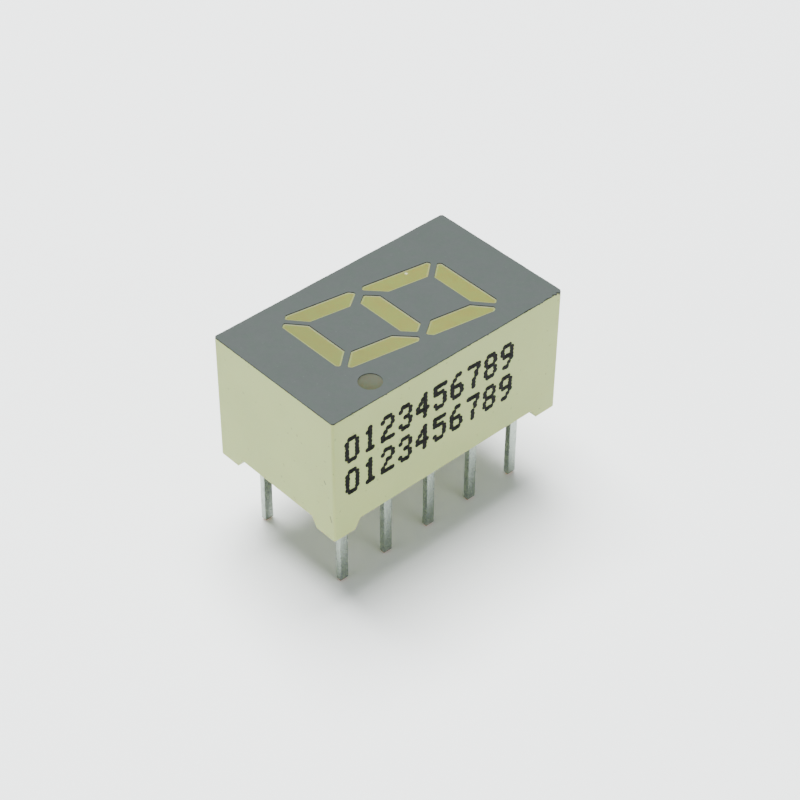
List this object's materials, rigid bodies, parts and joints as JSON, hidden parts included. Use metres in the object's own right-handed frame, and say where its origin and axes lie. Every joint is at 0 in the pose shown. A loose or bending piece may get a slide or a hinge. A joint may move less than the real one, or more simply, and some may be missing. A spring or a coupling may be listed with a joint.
{
  "type": "seven segment display",
  "caption": "Single-digit light emitting display with a slanted seven segment digit, a round decimal point, a grey face, a pale moulded body and two rows of pins.",
  "frame": {"origin": "centre of the pin grid in the plane of the pin tips, which is the bottom centre of the whole part", "axes": "+X to the digit's right, +Y to the digit's top, +Z out of the printed face"},
  "size_m": [0.0074, 0.013, 0.0105],
  "materials": {
    "moulding": "satin pale green-cream moulded plastic",
    "face_ink": "matt grey printed coat",
    "resin": "diffusing olive-cream cast resin",
    "laminate": "glass-cloth laminate",
    "copper": "gold-flashed copper",
    "die": "sawn semiconductor crystal",
    "glue": "silver-filled glue",
    "wire": "drawn gold",
    "pin": "bright tinned",
    "solder": "bright solder"
  },
  "bodies": {
    "root": {"housing": "moulding", "face_coat": "face_ink", "resin": "resin", "circuit_board": "laminate", "copper": "copper", "die_a": "die", "die_b": "die", "die_c": "die", "die_d": "die", "die_e": "die", "die_f": "die", "die_g": "die", "die_point": "die", "die_glue_a": "glue", "die_glue_b": "glue", "die_glue_c": "glue", "die_glue_d": "glue", "die_glue_e": "glue", "die_glue_f": "glue", "die_glue_g": "glue", "die_glue_point": "glue", "bond_wire_a": "wire", "bond_wire_b": "wire", "bond_wire_c": "wire", "bond_wire_d": "wire", "bond_wire_e": "wire", "bond_wire_f": "wire", "bond_wire_g": "wire", "bond_wire_point": "wire", "pin_1": "pin", "pin_2": "pin", "pin_3": "pin", "pin_4": "pin", "pin_5": "pin", "pin_6": "pin", "pin_7": "pin", "pin_8": "pin", "pin_9": "pin", "pin_10": "pin", "solder_1": "solder", "solder_2": "solder", "solder_3": "solder", "solder_4": "solder", "solder_5": "solder", "solder_6": "solder", "solder_7": "solder", "solder_8": "solder", "solder_9": "solder", "solder_10": "solder"}
  },
  "joints": []
}
